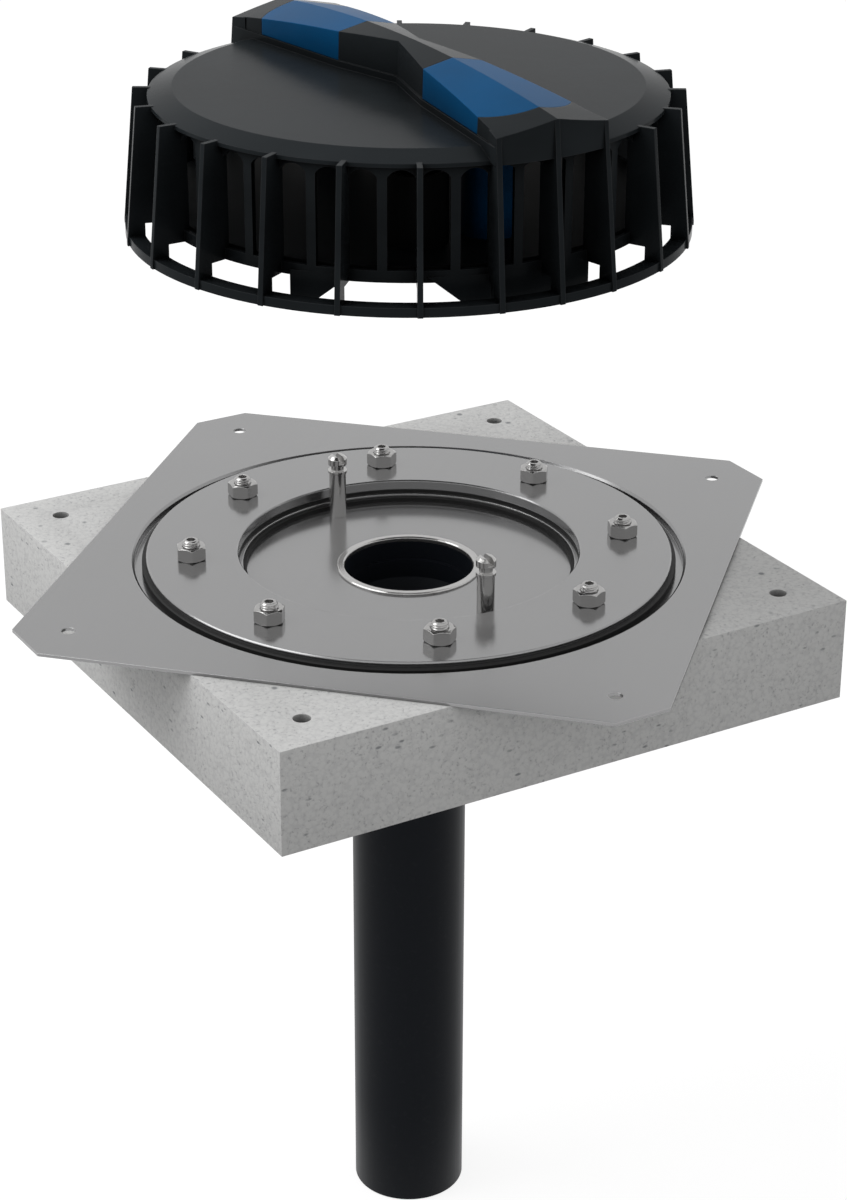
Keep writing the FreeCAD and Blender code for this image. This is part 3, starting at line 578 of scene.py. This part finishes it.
def start_material(name):
    """An empty material with a Principled shader joined to its output."""
    material = bpy.data.materials.new(name)
    material.use_nodes = True
    tree = material.node_tree
    tree.nodes.clear()
    output = tree.nodes.new("ShaderNodeOutputMaterial")
    shader = tree.nodes.new("ShaderNodeBsdfPrincipled")
    tree.links.new(shader.outputs["BSDF"], output.inputs["Surface"])
    return material, tree, shader


def relief(tree, shader, height, distance, strength, normal=None):
    """Join a bump to the shader, over the eased normal when there is one."""
    bump = tree.nodes.new("ShaderNodeBump")
    bump.inputs["Distance"].default_value = distance
    bump.inputs["Strength"].default_value = strength
    tree.links.new(height, bump.inputs["Height"])
    if normal is not None:
        tree.links.new(normal, bump.inputs["Normal"])
    tree.links.new(bump.outputs["Normal"], shader.inputs["Normal"])


def join_surface(tree, shader, surface):
    """Give a surface group's colour and roughness to the shader."""
    tree.links.new(surface.outputs["Color"], shader.inputs["Base Color"])
    tree.links.new(surface.outputs["Roughness"], shader.inputs["Roughness"])


def steel_material(name, color, polish, edge_radius, highlight_gain):
    """Satin stainless steel with rolling lines, eased edges and a painted highlight along them."""
    material, tree, shader = start_material(name)
    shader.inputs["Metallic"].default_value = 0.86
    edges = effect(tree, "eased_edges")
    edges.inputs["Radius"].default_value = edge_radius
    rolled = effect(tree, "rolled_steel")
    rolled.inputs["Color"].default_value = (*color, 1.0)
    rolled.inputs["Polish"].default_value = polish
    rolled.inputs["Highlight Gain"].default_value = highlight_gain
    tree.links.new(edges.outputs["Edge"], rolled.inputs["Edge"])
    join_surface(tree, shader, rolled)
    height = rolled.outputs["Height"]
    relief(tree, shader, height, distance=0.00001, strength=0.25, normal=edges.outputs["Normal"])
    return material


def moulded_material(name, color, edge_highlight, dullness, edge_radius, specular):
    """Injection-moulded plastic with a fine grain, a painted highlight along edges and painted
    shade in cavities.
    """
    material, tree, shader = start_material(name)
    shader.inputs["Specular IOR Level"].default_value = specular
    edges = effect(tree, "eased_edges")
    edges.inputs["Radius"].default_value = edge_radius
    moulded = effect(tree, "moulded_plastic")
    moulded.inputs["Color"].default_value = (*color, 1.0)
    moulded.inputs["Highlight Color"].default_value = (*edge_highlight, 1.0)
    moulded.inputs["Dullness"].default_value = dullness
    tree.links.new(edges.outputs["Edge"], moulded.inputs["Edge"])
    join_surface(tree, shader, moulded)
    height = moulded.outputs["Height"]
    relief(tree, shader, height, distance=0.00004, strength=0.35, normal=edges.outputs["Normal"])
    return material


def insulation_material(name, color, speck):
    """Rigid insulation with specks and pits."""
    material, tree, shader = start_material(name)
    shader.inputs["Roughness"].default_value = 0.92
    shader.inputs["Specular IOR Level"].default_value = 0.12
    foam = effect(tree, "rigid_insulation")
    foam.inputs["Color"].default_value = (*color, 1.0)
    foam.inputs["Speck Color"].default_value = (*speck, 1.0)
    tree.links.new(foam.outputs["Color"], shader.inputs["Base Color"])
    relief(tree, shader, foam.outputs["Height"], distance=0.0007, strength=0.45)
    return material


def drawn_material(name, color, dust, dullness, specular):
    """Extruded plastic or rubber with drawn lines."""
    material, tree, shader = start_material(name)
    shader.inputs["Specular IOR Level"].default_value = specular
    drawn = effect(tree, "drawn_surface")
    drawn.inputs["Color"].default_value = (*color, 1.0)
    drawn.inputs["Dust Color"].default_value = (*dust, 1.0)
    drawn.inputs["Dullness"].default_value = dullness
    join_surface(tree, shader, drawn)
    relief(tree, shader, drawn.outputs["Height"], distance=0.00003, strength=0.3)
    return material


def finish_node(node, material):
    """Give a CAD node its finish through its material slots."""
    slots = NODES[node].material_slots
    if not slots:
        raise RuntimeError(f"{node} has no material slot")
    for slot in slots:
        slot.material = material


# Meshes


def ring_surface(bm, rings, angles, centre):
    """Skin a row of rings, each a function of the angle that gives a radius and a height."""
    rows = []
    for ring in rings:
        row = []
        for angle in angles:
            radius, height = ring(angle)
            row.append(bm.verts.new(centre + polar(radius, angle, height)))
        rows.append(row)
    count = len(angles)
    for lower, upper in zip(rows, rows[1:]):
        for index in range(count):
            after = (index + 1) % count
            bm.faces.new((lower[index], lower[after], upper[after], upper[index]))


def constant_ring(radius, height):
    """A round ring."""
    return lambda angle: (radius, height)


def shaped_ring(edge, height):
    """A flat ring whose edge follows a function of the angle."""
    return lambda angle: (edge(angle), height)


def even_angles(count):
    """Angles that part a full turn evenly."""
    return [2 * pi * index / count for index in range(count)]


def finish_mesh(bm, name, material, sharp=30.0):
    """Turn a bmesh into a smooth object whose edges stay sharp over an angle in degrees."""
    weld = 1e-7
    bmesh.ops.remove_doubles(bm, verts=bm.verts, dist=weld)
    bmesh.ops.recalc_face_normals(bm, faces=bm.faces)
    mesh = bpy.data.meshes.new(name)
    bm.to_mesh(mesh)
    bm.free()
    mesh.materials.append(material)
    mesh.shade_smooth()
    mesh.set_sharp_from_angle(angle=radians(sharp))
    piece = bpy.data.objects.new(name, mesh)
    bpy.context.scene.collection.objects.link(piece)
    return piece


def join_piece(piece, body, slot, *replaced):
    """Tell the frame what a piece moves with and stands for; the slot it is given is not used."""
    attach(piece, body)
    if replaced:
        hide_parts(*replaced)


def thread_rings(radius, depth, pitch, low, high):
    """Rings of a helical thread between two heights, fading out at its top."""
    steps_per_turn = 8
    groove_slope = 1.25
    crest = 0.12
    fade_rate = 8.0
    least_fade = 0.25
    count = max(2, round((high - low) / pitch * steps_per_turn))

    def ring_at(height, fade):
        def ring(angle):
            turn = (height / pitch - angle / (2 * pi)) % 1.0
            groove = abs(turn * 2.0 - 1.0)
            cut = min(1.0, max(0.0, groove * groove_slope - crest))
            return radius - depth * cut * fade, height
        return ring

    rings = []
    for index in range(count + 1):
        share = index / count
        height = low + (high - low) * share
        rings.append(ring_at(height, min(1.0, (1.0 - share) * fade_rate + least_fade)))
    return rings


def stud_centres(fixings):
    """Where the studs stand, seen from above."""
    step = 2 * pi / fixings.stud_count
    turns = [fixings.stud_start + step * index for index in range(fixings.stud_count)]
    return [polar(fixings.stud_circle, turn) for turn in turns]


def hexagon(flats, corner_angle):
    """A function of the angle that gives the distance of a hexagon's edge from its centre."""
    def edge(angle):
        turn = (angle - corner_angle + pi / 6) % (pi / 3) - pi / 6
        return flats / 2 / cos(pi / 6 - abs(turn))
    return edge


def stud_mesh(fixings):
    """The ring of threaded studs, with their heads under the dish and a key socket in each top."""
    bm = bmesh.new()
    radius = fixings.stud_radius
    depth = fixings.thread_depth
    low = STUD_LOW.z
    high = STUD_HIGH.z
    head_radius = 0.007
    head_ease = 0.0005
    head_height = 0.002
    head_top = low + head_height
    turns_in_nut = 1.5
    thread_low = NUT_HIGH.z - turns_in_nut * fixings.thread_pitch
    thread_start = 0.0006
    chamfer = 0.0009
    shoulder_cut = 0.3
    shoulder_drop = 0.8
    steps_round = 40
    angles = even_angles(steps_round)
    for centre in stud_centres(fixings):
        socket = hexagon(fixings.socket_flats, atan2(centre.y, centre.x))
        rings = [
            constant_ring(0.0, low),
            constant_ring(head_radius - head_ease, low),
            constant_ring(head_radius, low + head_ease),
            constant_ring(head_radius, head_top),
            constant_ring(radius, head_top),
            constant_ring(radius, thread_low - thread_start),
        ]
        rings += thread_rings(radius, depth, fixings.thread_pitch, thread_low, high - chamfer)
        rings += [
            constant_ring(radius - depth * shoulder_cut, high - chamfer * shoulder_drop),
            constant_ring(radius - chamfer, high),
            shaped_ring(socket, high),
            shaped_ring(socket, high - fixings.socket_depth),
            constant_ring(0.0, high - fixings.socket_depth),
        ]
        ring_surface(bm, rings, angles, centre)
    return bm


def nut_mesh(fixings):
    """The ring of hexagon nuts, with both ends turned off at the corners and countersunk."""
    bm = bmesh.new()
    low = NUT_LOW.z
    high = NUT_HIGH.z
    flats = fixings.nut_flats
    bore = fixings.stud_radius
    corner = flats / sqrt(3)
    chamfer_angle = radians(30)
    chamfer_gain = 1.35
    drop = (corner - flats / 2) * tan(chamfer_angle) * chamfer_gain
    inset = 0.0003
    face = flats / 2 - inset
    margin = corner - flats / 2 + inset
    low_sink_width = 0.0005
    low_sink_depth = 0.0004
    low_sink_top = low + low_sink_depth
    high_sink_width = 0.0007
    high_sink_depth = 0.0006
    end_steps = 5
    steps_round = 96
    for centre in stud_centres(fixings):
        lead = atan2(centre.y, centre.x)
        edge = hexagon(flats, lead + pi / 6)
        angles = [lead + angle for angle in even_angles(steps_round)]

        def turned_end(level, away, share):
            reach = face + margin * share

            def ring(angle):
                radius = min(edge(angle), reach)
                slope = (radius - face) / margin
                return radius, level + away * drop * max(0.0, slope)
            return ring

        rings = [constant_ring(bore, low_sink_top), constant_ring(bore + low_sink_width, low)]
        rings += [turned_end(low, 1.0, step / end_steps) for step in range(end_steps + 1)]
        rings += [turned_end(high, -1.0, 1.0 - step / end_steps) for step in range(end_steps + 1)]
        rings += [
            constant_ring(bore + high_sink_width, high),
            constant_ring(bore, high - high_sink_depth),
            constant_ring(bore, low_sink_top),
        ]
        ring_surface(bm, rings, angles, centre)
    return bm


def pipe_mesh():
    """The outlet pipe with eased ends."""
    bm = bmesh.new()
    outer = (PIPE_HIGH.x - PIPE_LOW.x) / 2
    wall = 0.003
    inner = outer - wall
    low = PIPE_LOW.z
    high = PIPE_HIGH.z
    ease = 0.0006
    corner_share = 0.3
    corner_cut = ease * corner_share
    parts = 6
    steps_round = 128
    middle = [low + (high - low) * share / parts for share in range(1, parts)]
    profile = [(inner + ease, low), (outer - ease, low)]
    profile += [(outer - corner_cut, low + corner_cut), (outer, low + ease)]
    profile += [(outer, height) for height in middle]
    profile += [(outer, high - ease), (outer - ease, high)]
    profile += [(inner + ease, high), (inner, high - ease)]
    profile += [(inner, height) for height in reversed(middle)]
    profile += [(inner, low + ease), (inner + ease, low)]
    rings = [constant_ring(*point) for point in profile]
    ring_surface(bm, rings, even_angles(steps_round), Vector((0, 0, 0)))
    return bm


def eased_copy(node, name, material, width, segments):
    """A copy of a CAD node's mesh with its hard edges rounded."""
    weld = 1e-6
    flat_angle = 1.0
    hard_angle = 40.0
    rounded_angle = 35.0
    bm = bmesh.new()
    bm.from_mesh(NODES[node].data)
    bmesh.ops.remove_doubles(bm, verts=bm.verts, dist=weld)
    flat = radians(flat_angle)
    bmesh.ops.dissolve_limit(bm, angle_limit=flat, verts=bm.verts, edges=bm.edges)
    piece = finish_mesh(bm, name, material, sharp=hard_angle)
    rounding = piece.modifiers.new("rounding", "BEVEL")
    rounding.width = width
    rounding.segments = segments
    rounding.limit_method = "ANGLE"
    rounding.angle_limit = radians(hard_angle)
    rounding.harden_normals = False
    graph = bpy.context.evaluated_depsgraph_get()
    rounded = bpy.data.meshes.new_from_object(piece.evaluated_get(graph))
    piece.modifiers.clear()
    piece.data = rounded
    rounded.shade_smooth()
    rounded.set_sharp_from_angle(angle=radians(rounded_angle))
    return piece


# Operators


class DRAIN_OT_sheets(bpy.types.Operator):
    """Finish the stainless sheet, dish, clamp ring and outlet rim"""

    bl_idname = "drain.sheets"
    bl_label = "Finish the sheets"

    def execute(self, context):
        finish = finish_of(context)
        color = tuple(finish.sheet_color)
        width = finish.edge_width
        bright = tuple(finish.fixing_color)
        # the last number in each row is the strength of the painted edge highlight
        for node, name, tone, polish, highlight_gain in (
            ("base_sheet", "sheet_satin", color, 0.17, 0.6),
            ("inlet_dish", "dish_satin", color, 0.13, 0.2),
            ("clamp_ring", "ring_satin", color, 0.12, 0.5),
            ("outlet_rim", "rim_bright", bright, 0.09, 0.5),
        ):
            finish_node(node, steel_material(name, tone, polish, width, highlight_gain))
        return {"FINISHED"}


class DRAIN_OT_fixings(bpy.types.Operator):
    """Build the threaded studs and the hexagon nuts, and finish the catch pins"""

    bl_idname = "drain.fixings"
    bl_label = "Build the fixings"

    def execute(self, context):
        finish = finish_of(context)
        fixings = context.scene.drain_fixings
        color = tuple(finish.fixing_color)
        # painted shade: the studs and nuts are a darker copy of the fixing steel, standing for the
        # dark surroundings they reflect
        fixing_shade_tone = 0.85
        darker = tuple(part * fixing_shade_tone for part in color)
        bright = steel_material(
            "fixing_bright", darker, polish=0.1, edge_radius=0.0003, highlight_gain=0.5
        )
        pin = steel_material("pin_turned", color, polish=0.12, edge_radius=0.0003, highlight_gain=0.4)
        studs = finish_mesh(stud_mesh(fixings), "threaded_studs", bright, sharp=40.0)
        join_piece(studs, "base", "stud_steel", "clamp_studs")
        nuts = finish_mesh(nut_mesh(fixings), "hexagon_nuts", bright, sharp=24.0)
        join_piece(nuts, "base", "nut_steel", "clamp_nuts")
        for node in ("catch_pin_near", "catch_pin_far", "catch_pin_nuts"):
            finish_node(node, pin)
        return {"FINISHED"}


class DRAIN_OT_rubber(bpy.types.Operator):
    """Finish the seals and gaskets"""

    bl_idname = "drain.rubber"
    bl_label = "Finish the rubber"

    def execute(self, context):
        color = tuple(finish_of(context).rubber_color)
        dust = (0.04, 0.04, 0.04)
        rubber = drawn_material("seal_rubber_finish", color, dust, dullness=0.5, specular=0.25)
        for node in ("dish_gasket", "clamp_seal", "outlet_seal"):
            finish_node(node, rubber)
        return {"FINISHED"}


class DRAIN_OT_pipework(bpy.types.Operator):
    """Build the outlet pipe and finish the outlet fitting"""

    bl_idname = "drain.pipework"
    bl_label = "Build the pipework"

    def execute(self, context):
        color = tuple(finish_of(context).pipe_color)
        dust = (0.02, 0.022, 0.026)
        extruded = drawn_material("pipe_extruded", color, dust, dullness=0.3, specular=0.07)
        pipe = finish_mesh(pipe_mesh(), "extruded_pipe", extruded, sharp=50.0)
        join_piece(pipe, "base", "pipe_black", "outlet_pipe")
        dust = (0.014, 0.014, 0.016)
        fitting = drawn_material("fitting_moulded", color, dust, dullness=0.45, specular=0.08)
        finish_node("outlet_fitting", fitting)
        return {"FINISHED"}


class DRAIN_OT_block(bpy.types.Operator):
    """Build the insulating block with eased edges"""

    bl_idname = "drain.block"
    bl_label = "Build the block"

    def execute(self, context):
        finish = finish_of(context)
        width = context.scene.drain_fixings.block_ease
        color = tuple(finish.foam_color)
        speck = tuple(finish.speck_color)
        foam = insulation_material("insulation_speckled", color, speck)
        block = eased_copy("insulation_block", "insulation_body", foam, width, segments=3)
        join_piece(block, "base", "foam_grey", "insulation_block")
        return {"FINISHED"}


class DRAIN_OT_strainer(bpy.types.Operator):
    """Finish the strainer: its black mouldings, blue grips, springs and screws"""

    bl_idname = "drain.strainer"
    bl_label = "Finish the strainer"

    def execute(self, context):
        finish = finish_of(context)
        black = tuple(finish.moulding_color)
        # painted shade: the baffle inside the cage gets a fifth of the cage's black
        baffle_shade_tone = 0.2
        baffle_shaded_black = tuple(part * baffle_shade_tone for part in black)
        blue = tuple(finish.grip_color)
        # painted highlight: the grips' edges get a lighter blue
        grip_highlight_gain = 1.5
        grip_highlight_lift = 0.012
        lighter = tuple(min(1.0, part * grip_highlight_gain + grip_highlight_lift) for part in blue)
        # the cage's and baffle's edges get a lighter grey as a painted highlight
        cage = moulded_material(
            "cage_moulded", black, edge_highlight=(0.07, 0.075, 0.08), dullness=0.15,
            edge_radius=0.0005, specular=0.018,
        )
        finish_node("strainer_cage", cage)
        baffle = moulded_material(
            "baffle_moulded", baffle_shaded_black, edge_highlight=(0.01, 0.011, 0.012), dullness=0.5,
            edge_radius=0.0005, specular=0.03,
        )
        finish_node("air_baffle", baffle)
        grips = moulded_material(
            "grip_moulded", blue, edge_highlight=lighter, dullness=0.33,
            edge_radius=0.0008, specular=0.03,
        )
        finish_node("grip_near", grips)
        finish_node("grip_far", grips)
        spring = steel_material(
            "spring_bright", tuple(finish.fixing_color), polish=0.12,
            edge_radius=0.0002, highlight_gain=0.3,
        )
        for node in ("catch_spring_near", "catch_spring_far", "baffle_screws"):
            finish_node(node, spring)
        return {"FINISHED"}


def seen_directly(tree):
    """One for rays from the camera, a mirror or clear glass, and else nought."""
    path = tree.nodes.new("ShaderNodeLightPath")
    camera = path.outputs["Is Camera Ray"]
    first = math_node(tree, "MAXIMUM", camera, path.outputs["Is Glossy Ray"])
    return math_node(tree, "MAXIMUM", first, path.outputs["Is Transmission Ray"])


def studio_world(ambient):
    """White where it is seen, and an even grey light on the drain."""
    world = bpy.data.worlds.new("studio_world")
    world.use_nodes = True
    tree = world.node_tree
    tree.nodes.clear()
    output = tree.nodes.new("ShaderNodeOutputWorld")
    light = tree.nodes.new("ShaderNodeBackground")
    light.inputs["Color"].default_value = WHITE
    strength = spread(tree, seen_directly(tree), low=0.0, high=1.0, to_low=ambient, to_high=1.0)
    tree.links.new(strength, light.inputs["Strength"])
    tree.links.new(light.outputs["Background"], output.inputs["Surface"])
    return world


def floor_material():
    """A pale floor that shows white and still takes a soft shadow."""
    grey = 0.36
    seen_level = 0.83
    material = bpy.data.materials.new("studio_floor")
    material.use_nodes = True
    tree = material.node_tree
    tree.nodes.clear()
    output = tree.nodes.new("ShaderNodeOutputMaterial")
    matt = tree.nodes.new("ShaderNodeBsdfDiffuse")
    matt.inputs["Color"].default_value = (grey, grey, grey, 1.0)
    glow = tree.nodes.new("ShaderNodeEmission")
    glow.inputs["Color"].default_value = WHITE
    level = spread(tree, seen_directly(tree), low=0.0, high=1.0, to_low=0.0, to_high=seen_level)
    tree.links.new(level, glow.inputs["Strength"])
    both = tree.nodes.new("ShaderNodeAddShader")
    tree.links.new(matt.outputs["BSDF"], both.inputs[0])
    tree.links.new(glow.outputs["Emission"], both.inputs[1])
    tree.links.new(both.outputs["Shader"], output.inputs["Surface"])
    return material


def area_light(name, direction, distance, width, power, target):
    """A soft square light that faces the target."""
    lamp = bpy.data.lights.new(name, "AREA")
    lamp.shape = "SQUARE"
    lamp.size = width
    lamp.energy = power
    holder = bpy.data.objects.new(name, lamp)
    bpy.context.scene.collection.objects.link(holder)
    where = Vector(direction).normalized() * distance + target
    holder.location = where
    holder.rotation_euler = (where - target).to_track_quat("Z", "Y").to_euler()


class DRAIN_OT_studio(bpy.types.Operator):
    """Set up the pale floor, the soft light and the camera"""

    bl_idname = "drain.studio"
    bl_label = "Set up the studio"

    def execute(self, context):
        scene = context.scene
        studio = scene.drain_studio
        target = Vector((0.0, 0.0, studio.target_height))
        floor_gap = 0.0004
        key_direction = (-0.7, -0.22, 0.85)
        photo_shift = 0.01225

        bm = bmesh.new()
        bmesh.ops.create_grid(bm, x_segments=8, y_segments=8, size=4.0)
        floor = finish_mesh(bm, "studio_floor", floor_material())
        floor.location.z = PIPE_LOW.z - floor_gap

        scene.world = studio_world(studio.ambient)
        area_light(
            "key_light", key_direction, distance=2.2, width=1.5,
            power=studio.key_power, target=target,
        )

        lens = bpy.data.cameras.new("photo_camera")
        lens.sensor_fit = "VERTICAL"
        lens.sensor_height = 36.0
        lens.lens = studio.lens
        lens.shift_x = photo_shift
        lens.clip_end = 50.0
        lens.dof.use_dof = False
        camera = bpy.data.objects.new("photo_camera", lens)
        scene.collection.objects.link(camera)
        turn = studio.camera_azimuth
        rise = studio.camera_elevation
        back = Vector((sin(turn) * cos(rise), -cos(turn) * cos(rise), sin(rise)))
        right = Vector((cos(turn), sin(turn), 0.0))
        up = back.cross(right)
        basis = Matrix((right, up, back)).transposed().to_4x4()
        camera.matrix_world = Matrix.Translation(target + back * studio.camera_distance) @ basis
        scene.camera = camera
        scene.view_settings.view_transform = "Standard"
        return {"FINISHED"}


class DRAIN_PT_panel(bpy.types.Panel):
    """Everything that dresses the roof drain"""

    bl_idname = "DRAIN_PT_panel"
    bl_label = "Flat roof drain"
    bl_space_type = "VIEW_3D"
    bl_region_type = "UI"
    bl_category = "Roof drain"

    def draw(self, context):
        layout = self.layout
        scene = context.scene
        for owner in (scene.drain_finish, scene.drain_fixings, scene.drain_studio):
            box = layout.box()
            for name in owner.__annotations__:
                box.prop(owner, name)
        for operator in OPERATORS:
            layout.operator(operator.bl_idname)


OPERATORS = (
    DRAIN_OT_sheets,
    DRAIN_OT_fixings,
    DRAIN_OT_rubber,
    DRAIN_OT_pipework,
    DRAIN_OT_block,
    DRAIN_OT_strainer,
    DRAIN_OT_studio,
)
CLASSES = (DrainFinish, DrainFixings, DrainStudio, *OPERATORS, DRAIN_PT_panel)


def register():
    for item in CLASSES:
        bpy.utils.register_class(item)
    bpy.types.Scene.drain_finish = PointerProperty(type=DrainFinish)
    bpy.types.Scene.drain_fixings = PointerProperty(type=DrainFixings)
    bpy.types.Scene.drain_studio = PointerProperty(type=DrainStudio)


def unregister():
    del bpy.types.Scene.drain_studio
    del bpy.types.Scene.drain_fixings
    del bpy.types.Scene.drain_finish
    for item in reversed(CLASSES):
        bpy.utils.unregister_class(item)


def main():
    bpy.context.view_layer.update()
    register()
    bpy.ops.drain.sheets()
    bpy.ops.drain.fixings()
    bpy.ops.drain.rubber()
    bpy.ops.drain.pipework()
    bpy.ops.drain.block()
    bpy.ops.drain.strainer()
    bpy.ops.drain.studio()


if __name__ == "__main__":
    main()
